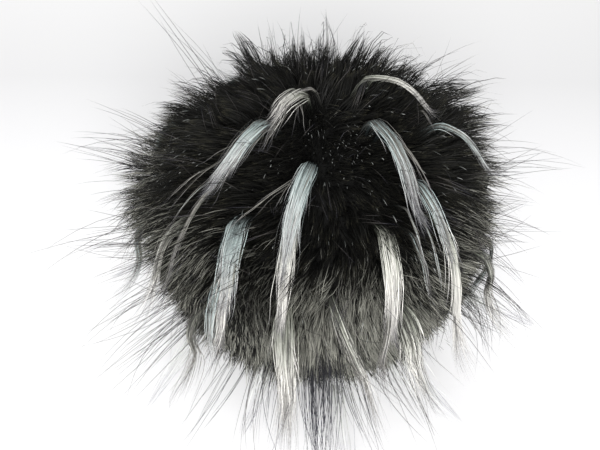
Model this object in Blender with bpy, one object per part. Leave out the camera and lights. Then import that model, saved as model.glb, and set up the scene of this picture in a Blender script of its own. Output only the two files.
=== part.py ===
"""A long-pile fur pom pom that stands on its underside.

The dense pile is one lumpy ball with a small flat spot underneath. Locks grow out of it: short
ones all over, and long ones where the pale tufts and the guard hairs reach past the pile. Each
lock leans down from the crown, and those that come to the floor run out level on it.

Metres, +Z up, origin in the middle of the flat spot. The side with the charted tufts faces -Y.
"""

import math
from collections import namedtuple

import bmesh
import bpy
from mathutils import Vector, noise

# The dense pile, where it hides what is behind it
PILE_RADIUS = 0.0485
PILE_HALF_HEIGHT = 0.0425
REST_RADIUS = 0.011
LUMP_HEIGHT = 0.001
LUMP_WIDTH = 0.011
BALL_STEPS = 4

# Locks: how deep they are rooted, how they thin out, and how far they keep from each other
ROOT_DEPTH = 0.0035
LOCK_SIDES = 3
LOCK_TAPER = 0.75
LOCK_GAP = 0.0006
CLEAR_STEP = 0.0012
GROWTH_STEPS = 8

# Short locks of the pile, fullest over the shoulder of the ball and sparest at its foot: shares of
# their length at some heights, in degrees above the widest level
SHORT_COUNT = 300
SHORT_LENGTH = 0.0145
SHORT_UNEVEN = 0.3
SHORT_BY_HEIGHT = ((-60, 0.32), (-20, 0.36), (0, 0.55), (15, 0.95), (30, 1.2), (45, 1.15), (90, 0.7))
LOWEST_SHORT = -58

# A lock's radius at its root, and how many rings it has
LockType = namedtuple("LockType", "radius rings")
SHORT_LOCK = LockType(0.0029, 3)
TUFT_LOCK = LockType(0.0022, 6)
THIN_LOCK = LockType(0.0014, 6)

# The floor bends a lock outwards over the last few millimetres, and it comes to lie on it
FLOOR_BEND = 0.007
FLOOR_SPLAY = 2.4
FLOOR_REST = 0.5

# How strongly a lock stands up from the pile: at its root, past its first bend, and at its tip
Lean = namedtuple("Lean", "root bend tip")
FIRST_BEND = 0.013
SHORT_LEAN = Lean(0.95, 0.60, 0.45)
GUARD_LEAN = Lean(0.95, 0.75, 0.62)

# A tuft is a full lock with a thinner one on each side: how far each is from the middle, its share
# of the tuft's length, and its type. They start side by side, the outer ones a little lower, and
# fan out towards their tips
TUFT_LOCKS = ((0, 1.0, TUFT_LOCK), (-1, 0.86, THIN_LOCK), (1, 0.74, THIN_LOCK))
TUFT_SPACING = 0.0043
TUFT_DROP = math.radians(2.3)
TUFT_FAN = 5.5
CROWN_RADIUS = 0.012

# Where a tuft leaves the pile, as degrees round from -Y towards +X and degrees above the widest
# level; its length past the pile in millimetres; the degrees by which it runs aslant to straight
# down; and how it leans
Tuft = namedtuple("Tuft", "around above length slant lean")
HUGGING = Lean(1.0, 0.05, 0.12)
FALLING = Lean(1.0, 0.06, 0.36)
FLARING = Lean(0.95, 0.30, 0.55)

TUFTS = (
    # the side that is seen
    Tuft(-40, 83, 22, 0, HUGGING),
    Tuft(-44, 62, 60, -5, HUGGING),
    Tuft(-5, 57, 78, -3, HUGGING),
    Tuft(46, 68, 56, -10, HUGGING),
    Tuft(112, 70, 36, -30, HUGGING),
    Tuft(77, 51, 42, 8, FALLING),
    Tuft(-24, 34, 64, -6, FALLING),
    Tuft(23, 38, 64, -2, FALLING),
    Tuft(45, 42, 66, 4, FALLING),
    Tuft(-51, 26, 48, -9, FALLING),
    Tuft(-73, 12, 46, -8, FLARING),
    Tuft(27, 6, 44, 6, FALLING),
    Tuft(-9, 12, 46, 0, FALLING),
    Tuft(58, 21, 46, 13, FLARING),
    Tuft(-39, -2, 44, -10, FLARING),
    # the side that is hidden
    Tuft(-98, 44, 60, -6, FALLING),
    Tuft(-144, 44, 56, 8, FALLING),
    Tuft(168, 42, 56, 6, FALLING),
    Tuft(-122, 16, 50, -6, FLARING),
    Tuft(-164, 28, 56, 2, FALLING),
    Tuft(136, 36, 62, -6, FALLING),
    Tuft(104, 14, 48, 6, FLARING),
    Tuft(-178, 4, 46, -11, FLARING),
    Tuft(150, -4, 44, 6, FALLING),
    Tuft(-98, -6, 42, 5, FALLING),
    Tuft(84, -6, 42, -5, FALLING),
)

# Guard hairs that stand clear of the pile: where they leave it, and their length in millimetres
Guard = namedtuple("Guard", "around above length")
GUARDS = (
    Guard(-62, 20, 40),
    Guard(-62, -9, 32),
    Guard(-97, 23, 36),
    Guard(-124, 45, 32),
    Guard(128, 46, 30),
    Guard(97, 24, 34),
    Guard(75, 15, 28),
    Guard(61, 2, 34),
    Guard(11, -10, 32),
    Guard(-167, 52, 24),
    Guard(152, 52, 24),
    Guard(-142, 12, 38),
    Guard(167, 21, 38),
    Guard(128, 4, 32),
    Guard(-165, -8, 30),
    Guard(104, -12, 28),
)

# Finishes: colour and roughness
Finish = namedtuple("Finish", "colour roughness")
BLACK_FUR = Finish((0.012, 0.012, 0.011, 1.0), 0.6)
PALE_HAIR = Finish((0.52, 0.58, 0.57, 1.0), 0.5)

# A lock before it is meshed: its centreline, its radius at each ring, which ends in a point, and
# whether it is pale
Lock = namedtuple("Lock", "line radii pale")


def ball_centre():
    """The middle of the pile, high enough for the flat spot to have its radius."""
    drop = math.sqrt(1 - (REST_RADIUS / PILE_RADIUS) ** 2)
    return Vector((0, 0, PILE_HALF_HEIGHT * drop))


CENTRE = ball_centre()


def on_pile(around, above):
    """The point of the pile at these angles, in radians."""
    level = math.cos(above) * PILE_RADIUS
    return CENTRE + Vector(
        (math.sin(around) * level, -math.cos(around) * level, math.sin(above) * PILE_HALF_HEIGHT)
    )


def outward(point):
    """The direction straight out of the pile at a point on or above it."""
    away = point - CENTRE
    away.x /= PILE_RADIUS**2
    away.y /= PILE_RADIUS**2
    away.z /= PILE_HALF_HEIGHT**2
    return away.normalized()


def above_pile(point):
    """True once a point is past the lumps of the pile."""
    away = point - CENTRE
    flat = math.hypot(away.x, away.y) / (PILE_RADIUS + LUMP_HEIGHT)
    return math.hypot(flat, away.z / (PILE_HALF_HEIGHT + LUMP_HEIGHT)) > 1


def falling(point, slant):
    """The way that hair falls there: down the pile, and outwards as it nears the floor."""
    out = outward(point)
    level = Vector((point.x, point.y, 0))
    radial = level.normalized() if level.length > 1e-6 else Vector((0, -1, 0))
    splay = FLOOR_SPLAY * max(0.0, 1 - point.z / CENTRE.z)
    fall = radial * splay - Vector((0, 0, 1))
    fall -= out * min(0.0, fall.dot(out))
    sideways = Vector((-radial.y, radial.x, 0))
    return (fall.normalized() + sideways * math.tan(slant)).normalized()


def between(table, place):
    """The value of a table of (place, value) rows at this place, drawn straight between its rows."""
    for (low, first), (high, last) in zip(table, table[1:]):
        if place <= high:
            return first + (last - first) * max(0.0, place - low) / (high - low)
    return table[-1][1]


def lean_at(lean, run, length):
    """How far a lock stands up at this run along it."""
    return between(((0, lean.root), (FIRST_BEND, lean.bend), (length, lean.tip)), run)


def kept_off_floor(way, height):
    """A way down that levels out over the last few millimetres above the floor."""
    steepest = max(-1.0, min(1.0, -height / FLOOR_BEND))
    if way.z >= steepest:
        return way
    level = Vector((way.x, way.y, 0)).normalized()
    return level * math.sqrt(1 - steepest**2) + Vector((0, 0, steepest))


def grown(around, above, length, lock_type, lean, slant=0.0, pale=False):
    """A lock that starts under the pile and grows out and down, and level along the floor."""
    radius, rings = lock_type
    point = on_pile(around, above)
    point -= outward(point) * ROOT_DEPTH
    whole = max(length, FIRST_BEND) + ROOT_DEPTH
    step = (length + ROOT_DEPTH) / rings / GROWTH_STEPS
    line, radii = [point.copy()], [radius]
    for ring in range(rings):
        for part in range(GROWTH_STEPS):
            along = (ring + (part + 0.5) / GROWTH_STEPS) / rings
            stand = lean_at(lean, along * (length + ROOT_DEPTH), whole)
            way = (outward(point) * stand + falling(point, slant) * (1 - stand)).normalized()
            way = kept_off_floor(way, point.z - radius * (1 - along) * FLOOR_REST)
            point = point + way * step
        line.append(point.copy())
        radii.append(radius * (1 - (ring + 1) / rings) ** LOCK_TAPER)
    return Lock(line, radii, pale)


def samples(lock):
    """Points along the part of a lock that is past the pile, each with its radius."""
    found = []
    for a, b, wide, thin in zip(lock.line, lock.line[1:], lock.radii, lock.radii[1:]):
        count = max(1, round((b - a).length / CLEAR_STEP))
        for i in range(count + 1):
            share = i / count
            point = a.lerp(b, share)
            if above_pile(point):
                found.append((point, wide + (thin - wide) * share))
    return found


def stands_apart(taken, candidate):
    """True if a lock keeps clear of all those before it."""
    return all(
        (point - other).length > radius + size + LOCK_GAP
        for point, radius in candidate
        for other, size in taken
    )


def tuft_locks(tuft):
    """The locks of a tuft: one down its middle, and a shorter one on each side."""
    around, above = math.radians(tuft.around), math.radians(tuft.above)
    apart = TUFT_SPACING / max(CROWN_RADIUS, math.cos(above) * PILE_RADIUS)
    for side, share, lock_type in TUFT_LOCKS:
        yield grown(
            around + side * apart,
            above - abs(side) * TUFT_DROP,
            tuft.length / 1000 * share,
            lock_type,
            tuft.lean,
            math.radians(tuft.slant + side * TUFT_FAN),
            pale=True,
        )


def short_lock(index):
    """One lock of the pile. Their roots wind round the ball at even distances."""
    height = 1 - (index + 0.5) / SHORT_COUNT * (1 - math.sin(math.radians(LOWEST_SHORT)))
    above = math.asin(height)
    around = index * math.pi * (3 - math.sqrt(5))
    uneven = noise.noise(on_pile(around, above) / LUMP_WIDTH) * SHORT_UNEVEN
    length = SHORT_LENGTH * (1 + uneven) * between(SHORT_BY_HEIGHT, math.degrees(above))
    return grown(around, above, length, SHORT_LOCK, SHORT_LEAN, uneven)


def all_locks():
    """Every lock that stands apart from those before it, the long ones first."""
    wanted = [lock for tuft in TUFTS for lock in tuft_locks(tuft)]
    for guard in GUARDS:
        around, above = math.radians(guard.around), math.radians(guard.above)
        wanted.append(grown(around, above, guard.length / 1000, THIN_LOCK, GUARD_LEAN))
    wanted += [short_lock(index) for index in range(SHORT_COUNT)]
    kept, taken = [], []
    for lock in wanted:
        candidate = samples(lock)
        if stands_apart(taken, candidate):
            kept.append(lock)
            taken += candidate
    return kept


def add_lock(mesh, lock):
    """Meshes a lock: rings of corners, carried along its line, a closed root and a pointed tip."""
    rings = []
    along = (lock.line[1] - lock.line[0]).normalized()
    up = Vector((0, 0, 1)) - along * along.z
    for i, (point, radius) in enumerate(zip(lock.line[:-1], lock.radii[:-1])):
        before = lock.line[max(0, i - 1)]
        turned = (lock.line[i + 1] - before).normalized()
        up = along.rotation_difference(turned) @ up
        along = turned
        up = (up - along * along.dot(up)).normalized()
        side = along.cross(up)
        ring = []
        for corner in range(LOCK_SIDES):
            turn = math.tau * corner / LOCK_SIDES
            place = point + (up * math.cos(turn) + side * math.sin(turn)) * radius
            place.z = max(place.z, 0.0)
            ring.append(mesh.verts.new(place))
        rings.append(ring)
    tip = mesh.verts.new(lock.line[-1])
    faces = [mesh.faces.new(reversed(rings[0]))]
    for a in range(LOCK_SIDES):
        b = (a + 1) % LOCK_SIDES
        for lower, upper in zip(rings, rings[1:]):
            faces.append(mesh.faces.new((lower[a], lower[b], upper[b], upper[a])))
        faces.append(mesh.faces.new((rings[-1][a], rings[-1][b], tip)))
    for face in faces:
        face.material_index = int(lock.pale)


def object_from(mesh, name):
    """Puts a bmesh into the scene as an object."""
    bmesh.ops.recalc_face_normals(mesh, faces=mesh.faces)
    data = bpy.data.meshes.new(name)
    mesh.to_mesh(data)
    mesh.free()
    made = bpy.data.objects.new(name, data)
    bpy.context.scene.collection.objects.link(made)
    return made


def pile_ball():
    """The dense pile: a lumpy ball, cut off level where it rests."""
    mesh = bmesh.new()
    bmesh.ops.create_icosphere(mesh, subdivisions=BALL_STEPS, radius=1)
    for vert in mesh.verts:
        place = CENTRE + Vector(
            (
                vert.co.x * PILE_RADIUS,
                vert.co.y * PILE_RADIUS,
                vert.co.z * PILE_HALF_HEIGHT,
            )
        )
        lump = noise.noise(place / LUMP_WIDTH) * LUMP_HEIGHT
        vert.co = place + outward(place) * lump
    for face in mesh.faces:
        face.smooth = True
    cut = bmesh.ops.bisect_plane(
        mesh,
        geom=mesh.verts[:] + mesh.edges[:] + mesh.faces[:],
        plane_co=(0, 0, 0),
        plane_no=(0, 0, -1),
        clear_outer=True,
    )
    rim = [item for item in cut["geom_cut"] if isinstance(item, bmesh.types.BMEdge)]
    bmesh.ops.edgeloop_fill(mesh, edges=rim)
    return object_from(mesh, "pompom")


def lock_bundle(locks):
    """All the locks as one mesh, to be joined to the ball."""
    mesh = bmesh.new()
    for lock in locks:
        add_lock(mesh, lock)
    bundle = object_from(mesh, "locks")
    bundle.hide_render = True
    bundle.display_type = "WIRE"
    return bundle


def hair_material(name, finish):
    """Hair of one colour with a soft shine."""
    hair = bpy.data.materials.new(name)
    hair.use_nodes = True
    shader = hair.node_tree.nodes["Principled BSDF"]
    shader.inputs["Base Color"].default_value = finish.colour
    shader.inputs["Roughness"].default_value = finish.roughness
    shader.inputs["Metallic"].default_value = 0.0
    return hair


def build():
    """The pom pom: the ball with its locks fused to it."""
    for leftover in list(bpy.data.objects):
        bpy.data.objects.remove(leftover)
    ball = pile_ball()
    locks = all_locks()
    bundle = lock_bundle(locks)
    print(f"{len(locks)} locks")
    black, pale = hair_material("black_fur", BLACK_FUR), hair_material("pale_hair", PALE_HAIR)
    ball.data.materials.append(black)
    for finish in (black, pale):
        bundle.data.materials.append(finish)
    join = ball.modifiers.new("Roots", "BOOLEAN")
    join.operation = "UNION"
    join.material_mode = "TRANSFER"
    join.object = bundle


build()
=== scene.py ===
import math
from collections import namedtuple

import bpy
import numpy as np
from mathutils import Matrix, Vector


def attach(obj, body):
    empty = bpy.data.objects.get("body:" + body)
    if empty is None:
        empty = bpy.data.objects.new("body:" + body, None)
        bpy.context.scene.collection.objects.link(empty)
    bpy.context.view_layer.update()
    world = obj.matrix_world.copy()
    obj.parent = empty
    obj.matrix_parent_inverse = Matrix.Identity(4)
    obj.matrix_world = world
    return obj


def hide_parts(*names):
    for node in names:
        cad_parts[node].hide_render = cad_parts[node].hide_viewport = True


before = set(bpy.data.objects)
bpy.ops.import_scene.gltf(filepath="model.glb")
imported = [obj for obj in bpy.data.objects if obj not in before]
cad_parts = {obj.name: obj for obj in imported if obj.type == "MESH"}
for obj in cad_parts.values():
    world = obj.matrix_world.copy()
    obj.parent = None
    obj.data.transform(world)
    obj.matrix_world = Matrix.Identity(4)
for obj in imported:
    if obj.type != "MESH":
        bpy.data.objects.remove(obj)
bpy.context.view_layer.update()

# Lengths are in metres and angles in degrees. Hair is placed by two angles: "around" turns from -Y,
# the side that faces the camera, towards +X, and "above" is the height over the widest level.
pile = {
    "radius": 0.0485,
    "halfHeight": 0.0425,
    "centreHeight": 0.0414,
    "rootDepth": 0.0025,  # how deep in the wool the hairs are rooted
    "floorBend": 0.007,  # the height over the floor at which hair begins to level out
    "floorSplay": 2.4,  # how strongly it spreads outwards near the floor
    "floorGap": 0.0002,  # no hair's middle comes nearer to the floor
}
# the pale tufts lie over the pile, on this larger ball
cover = {"radius": 0.057, "halfHeight": 0.0515, "centreHeight": 0.0445}
growth = {
    "steps": 20,
    "leanAt": (0, 0.5, 1),  # where along a hair the three values of a lean hold
    "strayAtRoot": 0.3,
    "clearance": 0.0004,
    "pullBend": 1.3,  # the higher, the nearer to the tip hairs are drawn together
}
tiny = 1e-12  # keeps a length of nothing from being divided by


def ballOf(sizes):
    # a ball's centre and its half axes
    middle = np.array([0.0, 0.0, sizes["centreHeight"]])
    return middle, np.array([sizes["radius"], sizes["radius"], sizes["halfHeight"]])


centre, girth = ballOf(pile)
coverCentre, coverGirth = ballOf(cover)


def unit(vectors):
    return vectors / np.maximum(np.linalg.norm(vectors, axis=-1, keepdims=True), tiny)


def facing(around, above):
    # the direction at these angles
    around, above = np.radians(around), np.radians(above)
    level = np.cos(above)
    return np.stack([np.sin(around) * level, -np.cos(around) * level, np.sin(above)], -1)


def onPile(direction, lift=0.0):
    # the spot of the pile's ball in that direction, lifted off it
    spot = centre + unit(direction) * girth
    return spot + outward(spot) * np.asarray(lift)[..., None]


def onCover(direction, lift=0.0):
    # the spot where a tuft lies in that direction, lifted off it
    spot = coverCentre + unit(direction) * coverGirth
    return spot + outward(spot) * np.asarray(lift)[..., None]


def outward(spots):
    return unit((spots - centre) / girth**2)


def fallingWay(spots, slant):
    # down the pile at this slant, and outwards as it nears the floor
    out = outward(spots)
    radial = unit(spots * [1, 1, 0] + [0, -1e-6, 0])
    splay = pile["floorSplay"] * np.maximum(0, 1 - spots[..., 2:] / centre[2])
    fall = radial * splay - [0, 0, 1]
    fall = fall - out * np.minimum(0, (fall * out).sum(-1, keepdims=True))
    sideways = np.stack([-radial[..., 1], radial[..., 0], 0 * radial[..., 0]], -1)
    return unit(unit(fall) + sideways * np.tan(np.radians(slant))[..., None])


def keptOffFloor(way, height):
    # a way down levels out over the last few millimetres, and turns up below this height's zero
    steepest = np.clip(-height / pile["floorBend"], -1, 1)
    level = unit(way * [1, 1, 0] + [0, -1e-9, 0]) * np.sqrt(1 - steepest**2)[..., None]
    level[..., 2] = steepest
    return np.where((way[..., 2] < steepest)[..., None], level, way)


def softNoise(spots, width, seed, waves=14):
    # a smooth random vector at each spot, of about unit size, that changes over this width
    rng = np.random.default_rng(seed)
    total = np.zeros(spots.shape)
    for axis in range(3):
        ways = unit(rng.normal(size=(waves, 3))) * 2 * math.pi / width
        ways *= rng.uniform(0.5, 1.4, (waves, 1))
        total[..., axis] = np.sin(spots @ ways.T + rng.uniform(0, 2 * math.pi, waves)).sum(-1)
    return total / math.sqrt(waves)


def leaningWay(spots, along, lean, slant):
    # between straight out and down, by how far a hair stands out at this share of its length
    stand = np.interp(along, growth["leanAt"], lean)
    return outward(spots) * stand + fallingWay(spots, slant) * (1 - stand)


def grow(roots, length, lean, slant, stray):
    # lets every hair grow step by step: out of the pile first, then over and down
    path, spots, steps = [roots], roots, growth["steps"]
    for i in range(steps):
        along = (i + 0.5) / steps
        way = leaningWay(spots, along, lean, slant)
        way = unit(way + stray * min(1, growth["strayAtRoot"] + along))
        way = keptOffFloor(way, spots[:, 2] - growth["clearance"])
        spots = spots + way * (length / steps)[:, None]
        path.append(spots)
    return np.stack(path, 1)


def sampled(path, shares):
    # the points of each path at these shares of its length, one row of shares for each hair or for all
    last = path.shape[1] - 1
    places = np.broadcast_to(shares, (len(path), np.shape(shares)[-1])) * last
    low = np.minimum(places.astype(int), last - 1)
    part = (places - low)[..., None]
    rows = np.arange(len(path))[:, None]
    return path[rows, low] * (1 - part) + path[rows, low + 1] * part


def ringsOf(settings):
    # the shares of a hair's length where it has its rings of corners
    return np.linspace(0, 1, settings["rings"])


def offFloor(path):
    path[..., 2] = np.maximum(path[..., 2], pile["floorGap"])
    return path


def slantAt(roots, noise):
    # the slant of the hairs in degrees, which changes softly over the ball
    width, seed, degrees = noise
    return softNoise(roots, width, seed)[:, 0] * degrees


def grownHair(settings, ways, length, stray):
    # hair that grows out of the pile in these directions
    roots = onPile(ways, -pile["rootDepth"])
    path = grow(roots, length, settings["lean"], slantAt(roots, settings["slant"]), stray)
    return sampled(path, ringsOf(settings))


def pulled(path, guides, owner, strength):
    # draws hairs in towards the guide that owns them, more and more up to the tip
    strength = np.asarray(strength) + np.zeros(len(path))
    shares = np.linspace(0, 1, path.shape[1])
    strength = strength[:, None] * shares ** growth["pullBend"]
    return path + (guides[owner] - path) * strength[..., None]


def grownWisps(settings, wispWays, wispLength, rng):
    # the hairs of wisps that grow in these directions, each drawn in towards its wisp's middle
    wispStray = rng.normal(size=(len(wispWays), 3)) * settings["wispStray"]
    wisps = grownHair(settings, wispWays, wispLength, wispStray)
    owner = np.repeat(np.arange(len(wispWays)), settings["perWisp"])
    ways = unit(wispWays[owner] + rng.normal(size=(len(owner), 3)) * settings["apart"])
    length = wispLength[owner] * rng.uniform(*settings["uneven"], len(owner))
    stray = wispStray[owner] + rng.normal(size=(len(owner), 3)) * settings["hairStray"]
    return pulled(grownHair(settings, ways, length, stray), wisps, owner, settings["pull"])


shadeColumns = 64  # a hair takes one column of its map, from root to tip
firstColumns = 40  # the columns from here on can have a colour of their own
columnPart = (0.35, 0.65)  # the part of a column's width that a hair covers
mapHeight = (0.02, 0.98)  # where roots and tips are on the map


def hairObject(name, path, width, column, rng, sides=2, turned=math.pi / 2):
    # each hair is a ribbon, or a tube of three sides, that ends in a point
    count, rings = path.shape[:2]
    along = unit(np.gradient(path, axis=1))
    out = outward(path)
    side = unit(np.cross(along, out) + 1e-9)
    turn = rng.uniform(-turned, turned, (count, 1, 1))
    side = side * np.cos(turn) + unit(np.cross(side, along)) * np.sin(turn)
    body, reach = path[:, :-1], width[:, :-1, None] / 2
    if sides == 2:
        corners = [-side[:, :-1] * reach, side[:, :-1] * reach]
        edges = [(0, 1)]
    else:
        other = unit(np.cross(along, side))
        spokes = [2 * math.pi * k / sides for k in range(sides)]
        corners = [
            (side[:, :-1] * math.cos(a) + other[:, :-1] * math.sin(a)) * reach for a in spokes
        ]
        edges = [(k, (k + 1) % sides) for k in range(sides)]
    ringed = np.stack([body + corner for corner in corners], 2).reshape(count, -1, 3)
    ringed[..., 2] = np.maximum(ringed[..., 2], 0)
    spots = np.concatenate([ringed, path[:, -1:]], 1)
    quads = [
        (r * sides + a, r * sides + b, (r + 1) * sides + b, (r + 1) * sides + a)
        for r in range(rings - 2)
        for a, b in edges
    ]
    tipRing = (rings - 2) * sides
    ends = [(tipRing + a, tipRing + b, (rings - 1) * sides) for a, b in edges]
    perHair = spots.shape[1]
    base = np.arange(count)[:, None] * perHair
    loops = np.concatenate([np.array(quads).reshape(-1), np.array(ends).reshape(-1)])
    sizes = [4] * len(quads) + [3] * len(ends)

    # the map: across a column, from the root at the bottom to the tip at the top
    across = (column[:, None] + np.linspace(*columnPart, sides)) / shadeColumns
    up = np.linspace(*mapHeight, rings)
    mapU = np.concatenate([np.tile(across, (1, rings - 1)), across.mean(1)[:, None]], 1)
    mapV = np.tile(np.append(np.repeat(up[:-1], sides), up[-1]), (count, 1))
    places = np.stack([mapU, mapV], -1)[:, loops].reshape(-1, 2)

    mesh = bpy.data.meshes.new(name)
    mesh.vertices.add(count * perHair)
    mesh.vertices.foreach_set("co", spots.astype(np.float32).ravel())
    mesh.loops.add(count * len(loops))
    mesh.loops.foreach_set("vertex_index", (base + loops).astype(np.int32).ravel())
    mesh.polygons.add(count * len(sizes))
    starts = np.concatenate([[0], np.cumsum(np.tile(sizes, count))[:-1]])
    mesh.polygons.foreach_set("loop_start", starts.astype(np.int32))
    mesh.polygons.foreach_set("use_smooth", np.ones(len(starts), bool))
    mesh.update(calc_edges=True)
    layer = mesh.uv_layers.new(name="OFBake")
    layer.uv.foreach_set("vector", places.astype(np.float32).ravel())
    made = bpy.data.objects.new(name, mesh)
    bpy.context.scene.collection.objects.link(made)
    print(f"{name}: {count} hairs, {len(starts) + count * len(quads)} triangles", flush=True)
    return made


def tapered(count, shares, root, middle, rng, uneven=0.25):
    # hair widths: full from a third of the way up, thinner near the tip, and a point at the end
    fullFrom, thinAt, thin = 0.3, 0.8, 0.65
    shape = np.interp(shares, (0, fullFrom, thinAt, 1), (root, middle, middle * thin, 0))
    return shape * rng.uniform(1 - uneven, 1 + uneven, (count, 1))


class Wire:
    # a shader socket that sums can be written with
    def __init__(self, paint, socket):
        self.paint, self.socket = paint, socket

    def maths(self, operation, *values):
        return self.paint.node("Math", {"operation": operation}, dict(enumerate(values)))

    def __add__(self, other):
        return self.maths("ADD", self, other)

    def __sub__(self, other):
        return self.maths("SUBTRACT", self, other)

    def __rsub__(self, other):
        return self.maths("SUBTRACT", other, self)

    def __mul__(self, other):
        return self.maths("MULTIPLY", self, other)

    __radd__, __rmul__ = __add__, __mul__


class Paint:
    # a material and the nodes that colour it
    def __init__(self, name):
        self.material = bpy.data.materials.new(name)
        self.material.use_nodes = True
        self.tree = self.material.node_tree
        self.shader = self.tree.nodes["Principled BSDF"]

    def node(self, kind, settings=None, values=None, output=0):
        made = self.tree.nodes.new("ShaderNode" + kind)
        for key, value in (settings or {}).items():
            if key == "stops":
                setStops(made.color_ramp, value)
            else:
                setattr(made, key, value)
        for key, value in (values or {}).items():
            self.feed(made.inputs[key], value)
        return Wire(self, made.outputs[output])

    def feed(self, socket, value):
        if isinstance(value, Wire):
            self.tree.links.new(value.socket, socket)
        else:
            socket.default_value = value

    def set(self, **values):
        for key, value in values.items():
            name = {"colour": "Base Color", "specular": "Specular IOR Level"}.get(key, key.capitalize())
            self.feed(self.shader.inputs[name], value)
        return self

    def mix(self, factor, a, b, blend="MIX"):
        settings = {"data_type": "RGBA", "blend_type": blend}
        return self.node("Mix", settings, {0: factor, 6: a, 7: b}, output=2)

    def ramp(self, factor, stops):
        return self.node("ValToRGB", {"stops": stops}, {0: factor})


def setStops(ramp, stops):
    # stops are (place, colour), in rising order
    while len(ramp.elements) < len(stops):
        ramp.elements.new(0.5)
    for element, (place, colour) in zip(ramp.elements, stops):
        element.position, element.color = place, colour


def tone(red, green, blue):
    return (red, green, blue, 1.0)


def hairPaint(name, stops, shift, uneven, roughness, specular, lastStops=None):
    # colour runs from root to tip, and each column of hairs has its own shade and turning points;
    # the last columns can have stops of their own
    unevenRoughness, secondDraw = 0.12, 0.37
    paint = Paint(name)
    place = paint.node("SeparateXYZ", None, {0: paint.node("UVMap", {"uv_map": "OFBake"})})
    up = Wire(paint, place.socket.node.outputs[1])
    column = (place * shadeColumns).maths("FLOOR", place * shadeColumns)
    chance = paint.node("TexWhiteNoise", {"noise_dimensions": "1D"}, {"W": column})
    other = paint.node("TexWhiteNoise", {"noise_dimensions": "1D"}, {"W": column + secondDraw})
    turned = up + (chance - 0.5) * shift
    colour = paint.ramp(turned, stops)
    if lastStops:
        isLast = column.maths("GREATER_THAN", column, firstColumns - 0.5)
        colour = paint.mix(isLast, colour, paint.ramp(turned, lastStops))
    shade = other * uneven + (1 - uneven / 2)
    grey = paint.node("CombineColor", None, {0: shade, 1: shade, 2: shade})
    colour = paint.mix(1.0, colour, grey, "MULTIPLY")
    roughness = roughness + unevenRoughness * (chance - 0.5)
    return paint.set(colour=colour, roughness=roughness, specular=specular).material


def columnsFor(count, lastShare, rng):
    # a column for each hair, out of the last ones for this share of them
    last = rng.random(count) < lastShare
    return np.where(last, rng.integers(firstColumns, shadeColumns, count),
                    rng.integers(0, firstColumns, count))


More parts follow.
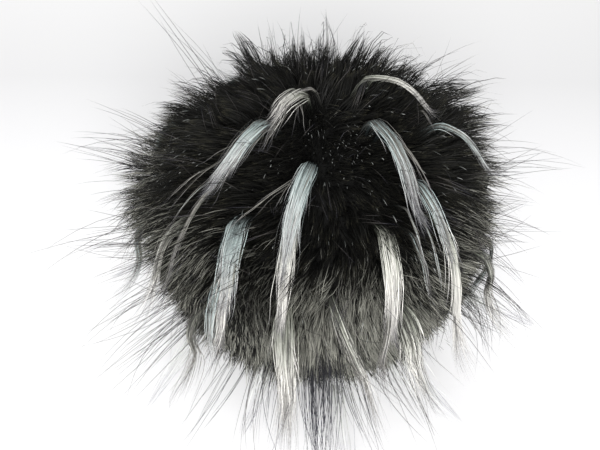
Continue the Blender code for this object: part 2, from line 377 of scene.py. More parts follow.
# Where a pale tuft shows first and where it leaves the pile, how far it bows out sideways on the way
# and how far its tips reach past the pile, in millimetres, how wide it lies in millimetres, how many
# hairs it has and which share of them is dim, and whether it is warm or cool
Tuft = namedtuple("Tuft", "startAround startAbove endAround endAbove bow tip wide hairs dim shade")
tuftTable = [Tuft(*row) for row in (
    # the side that is seen, from the crown down
    (-52, 82.5, -37, 70, 0.6, 8, 3.2, 130, 0.3, "warm"),
    (-40, 86, -51, 79, 0.0, 3, 1.0, 12, 1.0, "warm"),
    (-42, 74, -31, 61, 0.0, 6, 3.4, 18, 1.0, "warm"),
    (-35, 80, -16, 62, 0.0, 3, 0.2, 2, 1.0, "warm"),
    (-30, 79, -8, 66, 0.0, 3, 0.2, 2, 1.0, "warm"),
    (-34, 78, -15, 69, 0.0, 2, 0.2, 2, 1.0, "cool"),
    (-46.5, 67.5, -43.5, 44, -0.3, 6, 3.1, 320, 0.34, "cool"),
    (-43, 48, -47, 13, 0.4, 18, 1.2, 40, 0.9, "warm"),
    (-49.6, 50, -59, 31, 0.3, 8, 0.6, 4, 0.9, "warm"),
    (-48, 54, -56, 27, 0.2, 7, 0.5, 4, 1.0, "cool"),
    (-46, 48, -53, 24, 0.2, 8, 0.9, 5, 0.9, "cool"),
    (-46, 60, -55, 47, 0.0, 5, 0.4, 3, 1.0, "cool"),
    (-40, 56, -40, 46, 0.0, 4, 0.5, 3, 1.0, "cool"),
    (-41, 66, -42, 56, 0.0, 3, 1.0, 6, 1.0, "cool"),
    (-4.8, 58.2, -9.6, 30, 0.9, 9, 3.1, 420, 0.06, "cool"),
    (-9.0, 38, -9.4, 14, 0.0, 8, 2.4, 200, 0.06, "warm"),
    (-10, 55, -30, 36, 0.0, 6, 0.7, 4, 1.0, "warm"),
    (-12, 54, -15, 45, 0.0, 4, 0.5, 3, 0.9, "cool"),
    (-8, 55, -24, 39, 0.0, 4, 0.5, 2, 1.0, "cool"),
    (-28.8, 37.5, -26.2, 17, 0.0, 9, 4.1, 360, 0.04, "cool"),
    (-25.8, 30, -26.8, 5, 0.0, 13, 2.8, 190, 0.12, "warm"),
    (-28.2, 24, -31, -6, 0.0, 20, 2.2, 50, 0.5, "cool"),
    (47.5, 68.5, 36.5, 42, -0.9, 11, 2.6, 300, 0.34, "cool"),
    (49, 62, 45, 40, -0.2, 7, 1.2, 6, 1.0, "cool"),
    (44.5, 46, 42.6, 25, 0.0, 9, 2.8, 90, 0.5, "cool"),
    (33.8, 41, 32.4, 29, 0.0, 7, 1.1, 16, 0.6, "cool"),
    (32.8, 34, 33.4, 15, 0.2, 8, 1.6, 20, 0.6, "cool"),
    (38.5, 37, 37.4, 18, 0.0, 7, 0.9, 10, 0.8, "cool"),
    (115, 74.5, 84, 58, -3.4, 6, 1.5, 100, 0.35, "warm"),
    (86, 58.5, 69, 53, 0.0, 4, 0.5, 5, 1.0, "warm"),
    (85, 51, 82, 31, -1.2, 9, 1.9, 100, 0.5, "cool"),
    (23.1, 37, 21.0, 9, 0.0, 9, 3.5, 320, 0.05, "warm"),
    (21, 18, 19, -4, 0.0, 18, 1.4, 50, 0.8, "warm"),
    (44.5, 35, 43, 2, 0.0, 24, 2.0, 190, 0.0, "warm"),
    (-50, 30, -54, 8, 0.5, 24, 2.4, 80, 0.6, "warm"),
    (5, 17, 13, -10, 0.0, 26, 3.4, 100, 0.7, "warm"),
    (26, 10, 30, -10, 0.0, 24, 5.2, 150, 0.4, "warm"),
    (62, 10, 66, -8, 0.0, 28, 3.0, 90, 0.4, "warm"),
    (-72, 14, -76, -4, 0.0, 30, 2.6, 80, 0.5, "cool"),
    (-9.0, 13, -8, -9, 0.0, 28, 5.0, 260, 0.2, "warm"),
    (-38, 0, -43, -22, 0.0, 28, 3.0, 80, 0.6, "warm"),
    # the side that is hidden
    (-106, 34, -110, 0, 0.0, 30, 3.8, 160, 0.2, "cool"),
    (-144, 36, -136, 2, 0.0, 26, 3.8, 180, 0.2, "cool"),
    (168, 42, 174, 2, 0.0, 28, 4.2, 220, 0.2, "warm"),
    (-122, 16, -126, -14, 0.0, 28, 3.2, 110, 0.4, "warm"),
    (-162, 30, -158, -8, 0.0, 30, 3.8, 180, 0.2, "cool"),
    (136, 38, 130, -4, 0.0, 30, 3.8, 180, 0.2, "cool"),
    (104, 16, 108, -12, 0.0, 30, 3.2, 110, 0.3, "cool"),
    (-176, 6, 178, -18, 0.0, 28, 3.2, 100, 0.4, "warm"),
    (150, -2, 154, -26, 0.0, 26, 3.0, 80, 0.4, "cool"),
    (-98, -4, -96, -26, 0.0, 26, 2.6, 50, 0.5, "warm"),
    (84, -4, 82, -26, 0.0, 26, 2.6, 50, 0.5, "cool"),
)]
tuftHair = {
    "width": 0.00017,
    "rings": 12,
    "seed": 23,
    # the middle line: how long it runs inside the pile, the lift off the cover at some places from
    # where the tuft shows, the lean of its free end and how much of it that end has from the start
    "sunk": 0.006,
    "dive": ((-0.006, -0.010), (-0.003, -0.005), (0.0, -0.0015), (0.008, 0)),
    "linePoints": 28,
    "finePoints": 25,
    "freeSteps": 16,
    "lean": (0.35, 0.45, 0.5),
    "leanFromStart": 0.4,
    "clearance": 0.0006,
    # the body, in half widths: how wide it is along the line, how thick, and how far its wisps and
    # the hairs in a wisp lie from the middle and drift aside
    "wisps": 15,
    "fullAfter": 0.12,
    "body": (0.4, 0.6, 1.0, 0.85, 0.5, 0.35),
    "thick": 0.28,
    "place": (0.4, 0.38),
    "drift": (0.15, 0.1),
    "straying": (1.0, 0.22),  # how far a stray hair drifts, and the share of such hairs
    # the free end: its fan in degrees, how wisps and hairs turn in it, and how far wisps rise
    "fan": 7.0,
    "turn": (1.2, 0.12),
    "wispRise": 0.004,
    "freeFrom": 1.1,  # it starts to part this many times its length before the tip
    "freeBend": 1.5,
    "lateStart": (0.3, 1.6),  # the last share of the line where a hair starts, and how rare that is
    "earlyEnd": (0.5, 0.8),  # the first share where one ends, and how rare that is
    # the strands that leave the body and cross the pile
    "hairsPerStrand": 36,
    "strandHairs": (1, 4),
    "strandLeaves": (0.1, 0.5),
    "strandRuns": (0.22, 0.42),
    "strandSlant": (3, 13),
    "strandBend": 1.15,
    "strandLead": 0.1,  # a hair of it starts this share of the line earlier
    "strandFrom": 0.8,
    "strandApart": 0.0004,
    "strandLoose": 0.6,  # this much of that from the start
    "strandEnds": 0.08,
    "waves": ((9, 0.0004, 1), (21, 0.00018, 3)),  # turns along the line, reach and phase
    # the part inside the pile takes this share of the colours, the near-black ones painted as shade in
    # the pile, and is this share of the hair
    "insideShare": 0.17,
    "insideLimits": (0.03, 0.8),
    "rootDip": 0.005,
    "dipUntil": 0.3,
    "alike": 0.5,  # the share of a wisp's hairs that share its shade
    "turned": 1.3,  # how far a ribbon can turn out of the pile's surface, in radians
    "look": {"shift": 0.16, "uneven": 0.6, "roughness": 0.6, "specular": 0.06},
}

# tuft colours from root to tip, here and in the dim stops: the near-black root end and its dim rise are
# painted shade in and just out of the pile; the pale middle and the slate tips are the hair's own
coolStops = (
    (0.0, tone(0.004, 0.005, 0.005)),
    (0.16, tone(0.014, 0.018, 0.018)),
    (0.26, tone(0.105, 0.124, 0.124)),
    (0.42, tone(0.29, 0.345, 0.34)),
    (0.64, tone(0.41, 0.445, 0.44)),
    (0.80, tone(0.39, 0.395, 0.39)),
    (0.91, tone(0.21, 0.21, 0.22)),
    (1.0, tone(0.07, 0.07, 0.085)),
)
warmStops = (
    (0.0, tone(0.006, 0.007, 0.005)),
    (0.16, tone(0.016, 0.018, 0.015)),
    (0.26, tone(0.125, 0.132, 0.108)),
    (0.42, tone(0.38, 0.385, 0.345)),
    (0.64, tone(0.64, 0.63, 0.595)),
    (0.80, tone(0.44, 0.43, 0.41)),
    (0.91, tone(0.20, 0.195, 0.195)),
    (1.0, tone(0.07, 0.068, 0.08)),
)
dimStops = (
    (0.0, tone(0.003, 0.003, 0.003)),
    (0.25, tone(0.05, 0.05, 0.046)),
    (0.5, tone(0.16, 0.155, 0.14)),
    (0.75, tone(0.14, 0.135, 0.13)),
    (1.0, tone(0.05, 0.05, 0.065)),
)


def tuftWays(row, shares):
    startWay, endWay = facing(row.startAround, row.startAbove), facing(row.endAround, row.endAbove)
    return unit(startWay + (endWay - startWay) * np.asarray(shares)[:, None])


def tuftLine(row):
    # the middle of a tuft: up through the pile, down over it, and free at the end
    span = np.linalg.norm(np.diff(onCover(tuftWays(row, (0, 1))), axis=0))
    share = np.linspace(-tuftHair["sunk"] / span, 1, tuftHair["linePoints"])
    lift = np.interp(share * span, *zip(*tuftHair["dive"]))
    line = onCover(tuftWays(row, share), lift)
    sideways = unit(np.cross(np.gradient(line, axis=0), outward(line)))
    line = line + sideways * (row.bow / 1000 * np.sin(math.pi * np.maximum(share, 0)))[:, None]
    slope = unit(line[-1] - line[-2])
    spots, steps = [line[-1]], tuftHair["freeSteps"]
    for i in range(steps):
        along = (i + 0.5) / steps
        here = spots[-1][None]
        way = leaningWay(here, along, tuftHair["lean"], np.zeros(1))
        way = unit(slope * (1 - along) + way[0] * (tuftHair["leanFromStart"] + along))[None]
        way = keptOffFloor(way, here[:, 2] - tuftHair["clearance"])
        spots.append((here + way * (row.tip / 1000 / steps))[0])
    return np.concatenate([line, np.array(spots[1:])])


def evenly(line, shares):
    # points at these shares of the line's length
    run = np.concatenate([[0], np.cumsum(np.linalg.norm(np.diff(line, axis=0), axis=1))])
    at = np.asarray(shares) * run[-1]
    return np.stack([np.interp(at, run, line[:, k]) for k in range(3)], -1), run[-1]


def mingled(rng, wisp, wisps, reach):
    # a random value for each hair, out of its wisp's and its own
    ofWisp, ofHair = reach
    return (rng.normal(size=wisps) * ofWisp)[wisp] + rng.normal(size=len(wisp)) * ofHair


def bodyHairs(row, fine, reach, body, rng):
    # the hairs of a tuft's body run in wisps that part at the end: each one's wisp, its distances
    # sideways and upwards from the middle line, and the shares of the line where it starts and ends
    count, wisps, half = row.hairs, tuftHair["wisps"], row.wide / 2000
    freeFrom = 1 - row.tip / 1000 / reach * tuftHair["freeFrom"]
    free = np.clip((fine - freeFrom) / (1 - freeFrom), 0, 1)
    wisp = rng.integers(0, wisps, count)
    place = mingled(rng, wisp, wisps, tuftHair["place"])
    drift = mingled(rng, wisp, wisps, tuftHair["drift"])
    fan = np.tan(np.radians(tuftHair["fan"])) * row.tip / 1000
    far, share = tuftHair["straying"]
    drift += rng.normal(size=count) * far * (rng.random(count) < share)
    ofWisp, ofHair = tuftHair["turn"]
    turn = np.sort(rng.uniform(-ofWisp, ofWisp, wisps))[wisp] + rng.normal(size=count) * ofHair
    sideways = half * (place[:, None] * body + drift[:, None] * fine)
    sideways += (turn * fan)[:, None] * free ** tuftHair["freeBend"]
    looser = np.interp(fine, (0, 0.3, 1), (0.5, 1, 2))
    rise = rng.normal(size=(count, 1)) * half * tuftHair["thick"] * looser
    wispRise = rng.uniform(-1, 1, wisps)[wisp][:, None] * tuftHair["wispRise"]
    rise = rise + wispRise * free ** tuftHair["freeBend"]
    latest, rarity = tuftHair["lateStart"]
    begin = latest * rng.random(count) ** rarity
    earliest, rarity = tuftHair["earlyEnd"]
    end = rng.uniform(earliest, 1.0, count) ** rarity
    return wisp, sideways, rise, begin, end


def strandHairs(row, fine, reach, body, rng):
    # the hairs of a few strands that leave the body on the way and cross the pile, close to it
    strands, half = row.hairs // tuftHair["hairsPerStrand"], row.wide / 2000
    members = rng.integers(*tuftHair["strandHairs"], strands)
    owner = np.repeat(np.arange(strands), members)
    total = len(owner)
    leave = rng.uniform(*tuftHair["strandLeaves"], strands)
    last = np.minimum(leave + rng.uniform(*tuftHair["strandRuns"], strands), 1)
    side = rng.choice([-1, 1], strands)
    slant = np.tan(np.radians(rng.uniform(*tuftHair["strandSlant"], strands))) * reach * side
    gone = np.maximum(0, fine - leave[owner][:, None]) ** tuftHair["strandBend"]
    edge = half * tuftHair["strandFrom"] * side
    sideways = edge[owner][:, None] * body + slant[owner][:, None] * gone
    apart = tuftHair["strandApart"]
    sideways += rng.normal(size=(total, 1)) * apart * (tuftHair["strandLoose"] + fine)
    # a strand that goes aside sinks with the ball
    rise = rng.normal(size=(total, 1)) * apart - apart - sideways**2 / (2 * pile["radius"])
    end = last[owner] - rng.uniform(0, tuftHair["strandEnds"], total)
    return sideways, rise, leave[owner] - tuftHair["strandLead"], end


def tuftPaths(row, rng):
    # the hairs of one tuft and their columns
    fine = np.linspace(0, 1, tuftHair["finePoints"])
    line, reach = evenly(tuftLine(row), fine)
    along = unit(np.gradient(line, axis=0))
    across = unit(np.cross(along, outward(line)))
    up = unit(np.cross(across, along))
    sunkShare = tuftHair["sunk"] / reach
    bodyAt = (0, sunkShare, sunkShare + tuftHair["fullAfter"], 0.5, 0.8, 1)
    body = np.interp(fine, bodyAt, tuftHair["body"])
    wisp, *ofBody = bodyHairs(row, fine, reach, body, rng)
    ofStrands = strandHairs(row, fine, reach, body, rng)
    sideways, rise, begin, end = [np.concatenate(pair) for pair in zip(ofBody, ofStrands)]
    start = rng.uniform(0, 2 * math.pi, (len(rise), 1))
    waves = [np.sin(fine * turns + phase * start) * size for turns, size, phase in tuftHair["waves"]]
    sideways += sum(waves) * fine
    path = line + across * sideways[..., None] + up * rise[..., None]
    begin, end = begin[:, None], end[:, None]
    inside = np.clip((sunkShare - begin) / (end - begin), *tuftHair["insideLimits"])
    place, first = ringsOf(tuftHair), tuftHair["insideShare"]
    shares = inside + (place - first) / (1 - first) * (1 - inside)
    shares = np.where(place < first, place / first * inside, shares)
    path = sampled(path, begin + (end - begin) * shares)
    # every hair rises out of the pile, also where it starts on the way
    dip = tuftHair["rootDip"] * np.clip(1 - place / tuftHair["dipUntil"], 0, 1) ** 2
    path = path - outward(path) * dip[:, None]
    # some of the hairs in a wisp share its shade
    column = columnsFor(len(path), row.dim, rng)
    count = len(wisp)
    alike = (rng.random(count) < tuftHair["alike"]) & (column[:count] < firstColumns)
    column[:count][alike] = columnsFor(tuftHair["wisps"], 0, rng)[wisp][alike]
    return path, column


def growTufts(name, shade, stops):
    rng = np.random.default_rng(tuftHair["seed"])
    paths, columns = zip(*[tuftPaths(row, rng) for row in tuftTable if row.shade == shade])
    path = offFloor(np.concatenate(paths))
    width = tapered(len(path), ringsOf(tuftHair), tuftHair["width"], tuftHair["width"], rng)
    column = np.concatenate(columns)
    hair = hairObject(name, path, width, column, rng, turned=tuftHair["turned"])
    hair.data.materials.append(hairPaint(name, stops, lastStops=dimStops, **tuftHair["look"]))
    return hair


tufts = [
    growTufts("cool_tufts", "cool", coolStops),
    growTufts("warm_tufts", "warm", warmStops),
]

pileHair = {
    # each band's name, and the heights in degrees between which it grows
    "bands": (("crown_pile", 21.5, 90), ("side_pile", -15, 21.5), ("foot_pile", -66, -15)),
    "hairs": 28000,  # in each band
    "jitter": 0.012,
    "stray": 0.1,
    "lean": (0.95, 0.70, 0.50),
    "slant": (0.045, 6, 7),  # over how wide a spot it changes, its seed and its size in degrees
    "swirl": (0.03, 5, 0.2),  # the same for a push to any side, with its size against the way down
    "width": 0.00020,
    "rings": 5,
    "seed": 11,
    # hairs are drawn in towards small tufts and these towards locks: how many there are, how unevenly
    # they stand, how much their lengths differ and how far they stray
    "lowest": -66,
    "locks": (420, 0.05, (0.8, 1.25), 0.2),
    "tufts": (2600, 0.02, (0.75, 1.1), 0.14),
    "lockPull": 0.3,
    "tuftPull": (0.5, 0.85),  # in front, and behind the crown
    # the usual length, its factors by the height in degrees and from left to right, and a spot where
    # it is longer: its place, how near it a direction is where that begins and is full, and the gain
    "length": 0.0148,
    "byHeight": (
        (-60, 0.25), (-20, 0.28), (0, 0.5), (15, 0.9), (28, 1.3), (42, 1.12), (60, 0.78), (90, 0.76),
    ),
    "leftRight": 0.15,
    "longer": (122, 50, 0.86, 0.97),
    "longerGain": 0.35,
    # the hairs in one small tuft are this long against it
    "shortest": 0.62,
    "longest": ((-30, 1.9), (-5, 1.06)),
    # behind the crown the tufts are spikier, and there and at the foot some hairs are much longer:
    # up to how many times, and the share of such hairs by the height
    "behind": (180, 50, 0.55, 0.9),
    "spike": (0.55, 1.7),
    "spikeShare": (0.1, 1.0),
    "fartherFrom": 1.1,
    "farther": (1.5, 2.4),
    "footReach": ((-20, 2.1), (6, 1.4)),
    "footShare": ((-20, 0.45), (6, 0.15)),
    # under a pale tuft the hair is shorter, and longer on the crown, within this far of its middle
    "underTuft": ((45, 0.8), (60, 1.35)),
    "underWithin": (0.001, 0.005),
    "freeUnder": 0.05,  # hair that lies further under one isn't drawn in towards the others
    "coveredAt": (0.1, 1, 30),  # the spots along a pale tuft: from, to and how many
    # the share of olive hairs by the height, and the side that has the most of them: partly the fur's
    # olive tips, partly painted light from the floor and the front lamp on the lower front
    "olive": ((-30, 1.0), (18, 0.97), (28, 0.78), (36, 0.25), (45, 0.01)),
    "oliveLitSide": (10, -2, 0.80, 0.96),
    "oliveAwayFromLight": 0.42,
    "look": {"shift": 0.2, "uneven": 0.8, "roughness": 0.45, "specular": 0.07},
}

blackStops = (
    (0.0, tone(0.004, 0.004, 0.004)),
    (0.5, tone(0.0075, 0.0075, 0.007)),
    (0.80, tone(0.0095, 0.0095, 0.0085)),
    (0.92, tone(0.014, 0.0137, 0.011)),
    (1.0, tone(0.085, 0.081, 0.056)),
)
# olive hair, paler towards the tip: partly the fur's own colour, partly painted light on the lower
# front
oliveLitStops = (
    (0.0, tone(0.004, 0.004, 0.004)),
    (0.25, tone(0.055, 0.055, 0.048)),
    (0.5, tone(0.15, 0.15, 0.132)),
    (0.8, tone(0.235, 0.235, 0.205)),
    (1.0, tone(0.28, 0.275, 0.24)),
)


def spread(count, low, high, rng, jitter):
    # directions wound evenly round a band of the ball, each moved a little
    index = np.arange(count) + 0.5
    top, bottom = math.sin(math.radians(high)), math.sin(math.radians(low))
    height = top - index / count * (top - bottom)
    around = index * math.pi * (3 - math.sqrt(5))
    level = np.sqrt(1 - height**2)
    found = np.stack([np.sin(around) * level, -np.cos(around) * level, height], -1)
    return unit(found + rng.normal(size=found.shape) * jitter)


def nearest(spots, others):
    # the nearest of the others to each spot, and how far off it is
    found, gap = np.empty(len(spots), int), np.empty(len(spots))
    for start in range(0, len(spots), 4000):
        part = slice(start, start + 4000)
        apart = ((spots[part]**2).sum(1)[:, None] - 2 * spots[part] @ others.T) + (others**2).sum(1)
        found[part] = apart.argmin(1)
        gap[part] = np.sqrt(np.maximum(apart.min(1), 0))
    return found, gap


def towards(ways, spot, far, near):
    # from the far value to the near one, as these directions come close to the spot's
    around, above, begins, full = spot
    return np.interp(ways @ facing(around, above), (begins, full), (far, near))


def byHeight(ways, table):
    # the table's value at each direction's height in degrees
    places, values = zip(*table)
    return np.interp(np.degrees(np.arcsin(np.clip(ways[:, 2], -1, 1))), places, values)


def grownPile(ways, length, stray, rng):
    width, seed, size = pileHair["swirl"]
    swirl = softNoise(onPile(ways, -pile["rootDepth"]), width, seed) * size
    return grownHair(pileHair, ways, length, swirl + rng.normal(size=(len(ways), 3)) * stray)


Guides = namedtuple("Guides", "ways length path")


def growLocks(rng):
    count, jitter, uneven, stray = pileHair["locks"]
    ways = spread(count, pileHair["lowest"], 90, rng, jitter)
    length = pileHair["length"] * rng.uniform(*uneven, count)
    length *= byHeight(ways, pileHair["byHeight"]) * (1 - pileHair["leftRight"] * ways[:, 0])
    length *= 1 + pileHair["longerGain"] * towards(ways, pileHair["longer"], 0, 1)
    return Guides(ways, length, grownPile(ways, length, stray, rng))


def growSmallTufts(locks, rng):
    count, jitter, uneven, stray = pileHair["tufts"]
    ways = spread(count, pileHair["lowest"], 90, rng, jitter)
    lock = nearest(ways, locks.ways)[0]
    length = locks.length[lock] * rng.uniform(*uneven, count)
    spike = rng.uniform(*pileHair["spike"], count)
    length *= 1 + (spike - 1) * towards(ways, pileHair["behind"], *pileHair["spikeShare"])
    path = grownPile(ways, length, stray, rng)
    return Guides(ways, length, pulled(path, locks.path, lock, pileHair["lockPull"]))


def growBand(name, low, high, tufts, covered, rng):
    # one band of the pile, and covered are the spots where the pale tufts lie
    count, behind = pileHair["hairs"], pileHair["behind"]
    ways = spread(count, low, high, rng, pileHair["jitter"])
    tuft = nearest(ways, tufts.ways)[0]
    longest = byHeight(ways, pileHair["longest"])
    length = tufts.length[tuft] * rng.uniform(pileHair["shortest"], longest)
    farther = towards(ways, behind, *pileHair["farther"])
    farther = np.maximum(farther, byHeight(ways, pileHair["footReach"]))
    farther = rng.uniform(pileHair["fartherFrom"], farther)
    length *= np.where(rng.random(count) < byHeight(ways, pileHair["footShare"]), farther, 1)
    # short hair lets a tuft lie on it, and on the crown longer hair fills up to the tuft
    under = np.interp(nearest(onCover(ways), covered)[1], pileHair["underWithin"], (1, 0))
    length *= 1 + (byHeight(ways, pileHair["underTuft"]) - 1) * under
    path = grownPile(ways, length, pileHair["stray"], rng)
    pull = towards(ways, behind, *pileHair["tuftPull"]) * (under < pileHair["freeUnder"])
    path = offFloor(pulled(path, tufts.path, tuft, pull))
    width = tapered(count, ringsOf(pileHair), pileHair["width"], pileHair["width"], rng)
    # more olive hair low down and on the lit front side: partly painted light
    olive = byHeight(ways, pileHair["olive"])
    olive *= towards(ways, pileHair["oliveLitSide"], pileHair["oliveAwayFromLight"], 1)
    hair = hairObject(name, path, width, columnsFor(count, olive, rng), rng)
    hair.data.materials.append(blackHair)
    return hair


def growPile():
    rng = np.random.default_rng(pileHair["seed"])
    along = np.linspace(*pileHair["coveredAt"])
    covered = np.concatenate([onCover(tuftWays(row, along)) for row in tuftTable])
    smallTufts = growSmallTufts(growLocks(rng), rng)
    print("pile: locks and small tufts placed", flush=True)
    return [growBand(*band, smallTufts, covered, rng) for band in pileHair["bands"]]


wool = {
    "subdivisions": 6,
    "lump": 0.0008,
    "lumpWidth": 0.011,
    "seed": 3,
    "grain": {"Scale": 900.0, "Detail": 4.0},
    "colours": ((0.3, tone(0.004, 0.004, 0.004)), (0.7, tone(0.008, 0.008, 0.0075))),
    "bump": {"Strength": 0.6, "Distance": 0.0006},
    "roughness": 0.85,
    "specular": 0.1,
}


def makeUndercoat():
    # the short dense wool that the hair stands in
    bpy.ops.mesh.primitive_ico_sphere_add(subdivisions=wool["subdivisions"], radius=1)
    ball = bpy.context.object
    ball.name = "undercoat"
    spots = np.empty(len(ball.data.vertices) * 3)
    ball.data.vertices.foreach_get("co", spots)
    spots = onPile(spots.reshape(-1, 3))
    lump = softNoise(spots, wool["lumpWidth"], wool["seed"])[:, 0] * wool["lump"]
    spots = spots + outward(spots) * lump[:, None]
    spots[:, 2] = np.maximum(spots[:, 2], 0)
    ball.data.vertices.foreach_set("co", spots.ravel())
    ball.data.shade_smooth()
    paint = Paint("undercoat")
    grain = paint.node("TexNoise", None, wool["grain"])
    bump = paint.node("Bump", None, {**wool["bump"], "Height": grain})
    colour = paint.ramp(grain, wool["colours"])
    paint.set(colour=colour, roughness=wool["roughness"], normal=bump, specular=wool["specular"])
    ball.data.materials.append(paint.material)
    print("undercoat:", len(ball.data.polygons), "triangles", flush=True)
    return ball


blackHair = hairPaint("black_hair", blackStops, lastStops=oliveLitStops, **pileHair["look"])
undercoat = makeUndercoat()
piles = growPile()

# Long wisps that stand clear of the pile: where they leave it, where their tip is in millimetres,
# how many hairs they have and which share of them is slate grey
Wisp = namedtuple("Wisp", "around above x y z hairs slate", defaults=(0,))
wispTable = [Wisp(*row) for row in (
    # the side that is seen
    (-63, 21, -81, -32, 52, 12),
    (-61, 18, -74, -28, 60, 6),
    (-63, -9, -74, -38, 24, 16),
    (-51, -7, -67, -51, 22, 14),
    (-53, -16, -60, -52, 14, 12),
    (-97, 24, -82, 7, 67, 22),
    (-82, 20, -68, -12, 59, 9),
    (-102, 30, -69, 14, 77, 8),
    (-124, 45, -57, 37, 99, 7),
    (128, 46, 57, 32, 90, 10),
    (97, 24, 84, 5, 63, 10),
    (75, 15, 68, -18, 55, 12),
    (60, 5, 65, -41, 35, 16),
    (53, 1, 51, -47, 30, 16),
    (-31, -26, -39, -62, 6, 12, 0.6),
    (-19, -20, -20, -70, 6, 8, 0.5),
    (1, -9, 2, -78, 11, 58, 1),
    (4, -12, 5, -70, 8, 16, 1),
    (-12, -11, -14, -73, 14, 14, 1),
    (12, -14, 20, -70, 12, 16, 0.5),
    (32, -27, 38, -60, 7, 14),
    (-154, 54, -17, 39, 97, 12),
    (173, 56, 1, 41, 98, 12),
    (-170, 57, -7, 39, 96, 12),
    # the side that is hidden
    (-140, 14, -55, 58, 52, 10),
    (168, 22, 16, 84, 56, 10),
    (128, 4, 64, 50, 30, 12),
    (-165, -8, -20, 80, 22, 12),
    (-116, -12, -72, 34, 16, 12),
    (146, -20, 46, 62, 8, 12),
    (104, -12, 74, 20, 18, 12),
)]
guardHair = {
    "lean": (0.95, 0.72, 0.6),
    "slant": (0.05, 8, 8),
    "width": 0.00016,
    "rings": 8,
    "seed": 37,
    # wisps all round: how many, the heights in degrees between which they stand, how unevenly, how
    # long they are, and how their hairs part and are drawn in
    "wisps": (70, 0, 86),
    "jitter": 0.06,
    "length": (0.022, 0.034),
    "perWisp": 6,
    "wispStray": 0.25,
    "apart": 0.045,
    "uneven": (0.6, 1.05),
    "hairStray": 0.1,
    "pull": 0.7,
    # single hairs all round
    "strays": (240, 2, 88),
    "strayJitter": 0.05,
    "strayLength": (0.020, 0.034),
    "strayAside": 0.35,
    # high up both are shorter: the upward parts of their direction where that begins and is full,
    # and the factor
    "highUp": (0.6, 0.95),
    "highUpLength": 0.62,
    # the listed wisps: how far their roots and tips part, where they bend and how their hairs differ
    "rootsPart": 0.05,
    "tipsPart": (0.02, 0.11),
    "bend": (0.4, 0.55),
    "reach": (0.62, 1.04),
    "look": {"shift": 0.3, "uneven": 0.9, "roughness": 0.38, "specular": 0.2},
}

guardStops = (
    (0.0, tone(0.001, 0.001, 0.001)),
    (0.45, tone(0.006, 0.006, 0.0055)),
    (0.68, tone(0.065, 0.060, 0.056)),
    (0.85, tone(0.048, 0.046, 0.054)),
    (1.0, tone(0.026, 0.026, 0.038)),
)
slateStops = (
    (0.0, tone(0.03, 0.03, 0.032)),
    (0.3, tone(0.036, 0.036, 0.043)),
    (0.7, tone(0.052, 0.052, 0.068)),
    (1.0, tone(0.035, 0.035, 0.05)),
)


def listedWisp(row, shares, rng):
    # the hairs leave the pile together, bend over and part towards the tip
    count = row.hairs
    way = facing(row.around, row.above)
    root = onPile(way + rng.normal(size=(count, 3)) * guardHair["rootsPart"])
    tip = np.array([row.x, row.y, row.z]) / 1000
    reach = np.linalg.norm(tip - root, axis=1, keepdims=True)
    tip = tip + rng.normal(size=(count, 3)) * reach * rng.uniform(*guardHair["tipsPart"], (count, 1))
    bend = root + outward(root) * reach * rng.uniform(*guardHair["bend"], (count, 1))
    share = shares[None, :, None] * rng.uniform(*guardHair["reach"], (count, 1, 1))
    first = (1 - share) ** 2 * root[:, None] + 2 * share * (1 - share) * bend[:, None]
    return first + share**2 * tip[:, None]


def lowered(ways, length):
    # hair on the crown stays shorter
    return length * np.interp(ways[:, 2], guardHair["highUp"], (1, guardHair["highUpLength"]))


def growGuards():
    rng = np.random.default_rng(guardHair["seed"])
    shares = ringsOf(guardHair)
    ways = spread(*guardHair["wisps"], rng, guardHair["jitter"])
    length = lowered(ways, rng.uniform(*guardHair["length"], len(ways)))
    near = grownWisps(guardHair, ways, length, rng)
    ways = spread(*guardHair["strays"], rng, guardHair["strayJitter"])
    length = lowered(ways, rng.uniform(*guardHair["strayLength"], len(ways)))
    stray = rng.normal(size=(len(ways), 3)) * guardHair["strayAside"]
    strays = grownHair(guardHair, ways, length, stray)
    listed = [listedWisp(row, shares, rng) for row in wispTable]
    path = offFloor(np.concatenate([near, strays, *listed]))
    width = tapered(len(path), shares, guardHair["width"], guardHair["width"], rng)
    column = columnsFor(len(near) + len(strays), 0, rng)
    column = np.concatenate([column, *[columnsFor(row.hairs, row.slate, rng) for row in wispTable]])
    hair = hairObject("guard_hairs", path, width, column, rng, sides=3)
    paint = hairPaint("guard_hair", guardStops, lastStops=slateStops, **guardHair["look"])
    hair.data.materials.append(paint)
    return hair


guardHairs = growGuards()

# painted glints: single short pale hairs that surface between the tufts and stand in for glints on the
# pile
glintHair = {
    "spread": (800, -40, 82),
    "jitter": 0.1,
    "length": (0.0008, 0.0035),
    # specks of the shortest ones, painted glints in small spots: where, how wide and how many
    "specks": ((16, 63, 0.13, 90), (-74, 35, 0.12, 70)),
    "speckLength": (0.0004, 0.0012),
    "depth": (-0.0035, -0.0005),
    "lean": (0.45, 0.25, 0.2),
    "slant": (0.045, 6, 7),
    "slantApart": 9,
    "stray": 0.12,
    "width": 0.00012,
    "widthUneven": 0.5,
    "rings": 7,
    "seed": 51,
    "turned": 1.0,
    "look": {"shift": 0.3, "uneven": 1.4, "roughness": 0.35, "specular": 0.4},
}

# the colour of the painted glints, palest in the middle of each hair
glintStops = (
    (0.0, tone(0.02, 0.024, 0.023)),
    (0.3, tone(0.10, 0.11, 0.105)),
    (0.65, tone(0.20, 0.205, 0.195)),
    (1.0, tone(0.06, 0.06, 0.063)),
)


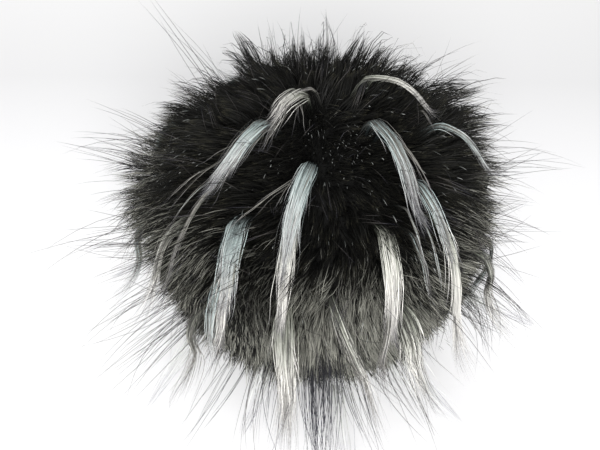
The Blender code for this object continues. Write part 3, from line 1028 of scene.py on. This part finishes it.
def growGlints():
    # only the part that surfaces: it starts inside the pile and lies along it
    rng = np.random.default_rng(glintHair["seed"])
    ways = spread(*glintHair["spread"], rng, glintHair["jitter"])
    length = rng.uniform(*glintHair["length"], len(ways))
    for around, above, size, count in glintHair["specks"]:
        ways = np.concatenate([ways, unit(facing(around, above) + rng.normal(size=(count, 3)) * size)])
        length = np.append(length, rng.uniform(*glintHair["speckLength"], count))
    depth = rng.uniform(*glintHair["depth"], len(ways))
    slant = slantAt(onPile(ways), glintHair["slant"])
    slant = slant + rng.normal(size=len(ways)) * glintHair["slantApart"]
    stray = rng.normal(size=(len(ways), 3)) * glintHair["stray"]
    path = grow(onCover(ways, depth), length, glintHair["lean"], slant, stray)
    shares, uneven = ringsOf(glintHair), glintHair["widthUneven"]
    width = tapered(len(ways), shares, 0, glintHair["width"], rng, uneven)
    column = rng.integers(0, shadeColumns, len(ways))
    path = sampled(path, shares)
    hair = hairObject("glint_hairs", path, width, column, rng, turned=glintHair["turned"])
    hair.data.materials.append(hairPaint("glint_hair", glintStops, **glintHair["look"]))
    return hair


# the wisps that fringe the foot
fringeHair = {
    "wisps": (12, -34, -12),
    "jitter": 0.05,
    "length": (0.024, 0.040),
    "perWisp": 24,
    "lean": (0.9, 0.45, 0.4),
    "slant": (0.03, 9, 10),
    "wispStray": 0.18,
    "apart": 0.04,
    "uneven": (0.55, 1.05),
    "hairStray": 0.12,
    "pull": 0.88,
    "width": 0.00015,
    "rings": 9,
    "seed": 52,
    "turned": 1.2,
    "look": {"shift": 0.3, "uneven": 0.9, "roughness": 0.4, "specular": 0.3},
}

fringeStops = (
    (0.0, tone(0.03, 0.032, 0.03)),
    (0.25, tone(0.22, 0.23, 0.21)),
    (0.5, tone(0.55, 0.565, 0.54)),
    (0.7, tone(0.42, 0.42, 0.44)),
    (0.85, tone(0.22, 0.22, 0.245)),
    (1.0, tone(0.09, 0.09, 0.115)),
)


def growFringe():
    rng = np.random.default_rng(fringeHair["seed"])
    ways = spread(*fringeHair["wisps"], rng, fringeHair["jitter"])
    length = rng.uniform(*fringeHair["length"], len(ways))
    path = offFloor(grownWisps(fringeHair, ways, length, rng))
    width = tapered(len(path), ringsOf(fringeHair), fringeHair["width"], fringeHair["width"], rng)
    column = rng.integers(0, shadeColumns, len(path))
    hair = hairObject("foot_fringe", path, width, column, rng, turned=fringeHair["turned"])
    hair.data.materials.append(hairPaint("fringe_hair", fringeStops, **fringeHair["look"]))
    return hair


glintHairs = growGlints()
footFringe = growFringe()

for piece in (undercoat, *piles, guardHairs):
    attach(piece, "root")
    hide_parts("pompom")
for piece in (*tufts, glintHairs, footFringe):
    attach(piece, "root")
    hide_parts("pompom")

studio = {
    "floorRadius": 4.0,
    "floorSides": 96,
    "floorRoughness": 0.7,
    # the floor's colour by the distance behind the ball; its darker stops are painted shade
    "floor": (
        (0.0, tone(0.865, 0.865, 0.875)),
        (0.06, tone(0.80, 0.80, 0.81)),
        (0.16, tone(0.70, 0.70, 0.705)),
        (0.25, tone(0.78, 0.78, 0.78)),
    ),
    "sky": tone(0.985, 0.985, 1.0),
    "skyStrength": 0.50,
    # the camera: what it is aimed at, how high it stands in degrees, how far it is from a spot at
    # this height, its lens in millimetres, and the nearest distance that it shows
    "aim": (-0.0057, -0.0021, 0.0435),
    "elevation": 40,
    "distance": 0.265,
    "height": 0.046,
    "lens": 50,
    "nearest": 0.01,
}

# each lamp: where it is, what it faces, how wide it is, its power and its colour
lamps = {
    "frontLamp": ((0.06, -1.17, 0.65), (0, -0.03, 0.03), 0.80, 32.0, (1.0, 0.995, 0.985)),
    "sideLamp": ((-0.45, -0.15, 0.65), (0, 0, 0.04), 0.45, 0.4, (1.0, 1.0, 1.0)),
    "backLamp": ((-0.30, 0.95, 0.60), (0, 0.10, 0.03), 0.8, 2.6, (1.0, 1.0, 1.0)),
}


def layFloor():
    sides, radius = studio["floorSides"], studio["floorRadius"]
    bpy.ops.mesh.primitive_circle_add(vertices=sides, radius=radius, fill_type="NGON")
    floor = bpy.context.object
    floor.name = "floor"
    paint = Paint("floor")
    # painted shade: a little darker behind the ball, by the distance in metres
    place = paint.node("SeparateXYZ", None, {0: paint.node("TexCoord", output=3)}, output=1)
    paint.set(colour=paint.ramp(place, studio["floor"]), roughness=studio["floorRoughness"])
    floor.data.materials.append(paint.material)


def hangLamps():
    for name, (place, target, size, power, colour) in lamps.items():
        light = bpy.data.lights.new(name, "AREA")
        light.shape, light.size, light.energy, light.color = "DISK", size, power, colour
        lamp = bpy.data.objects.new(name, light)
        lamp.location = place
        way = Vector(target) - Vector(place)
        lamp.rotation_euler = way.to_track_quat("-Z", "Y").to_euler()
        bpy.context.scene.collection.objects.link(lamp)


def setCamera():
    data = bpy.data.cameras.new("camera")
    data.lens = studio["lens"]
    data.clip_start = studio["nearest"]
    camera = bpy.data.objects.new("camera", data)
    tilt = math.radians(studio["elevation"])
    back = Vector((0, -math.cos(tilt), math.sin(tilt)))
    camera.location = Vector((0, 0, studio["height"])) + back * studio["distance"]
    way = Vector(studio["aim"]) - camera.location
    camera.rotation_euler = way.to_track_quat("-Z", "Y").to_euler()
    bpy.context.scene.collection.objects.link(camera)
    bpy.context.scene.camera = camera


def setSky():
    world = bpy.data.worlds.new("sky")
    world.use_nodes = True
    sky = world.node_tree.nodes["Background"]
    sky.inputs["Color"].default_value = studio["sky"]
    sky.inputs["Strength"].default_value = studio["skyStrength"]
    bpy.context.scene.world = world
    bpy.context.scene.view_settings.view_transform = "Standard"


layFloor()
hangLamps()
setCamera()
setSky()
print("floor, lamps, camera and sky are set")
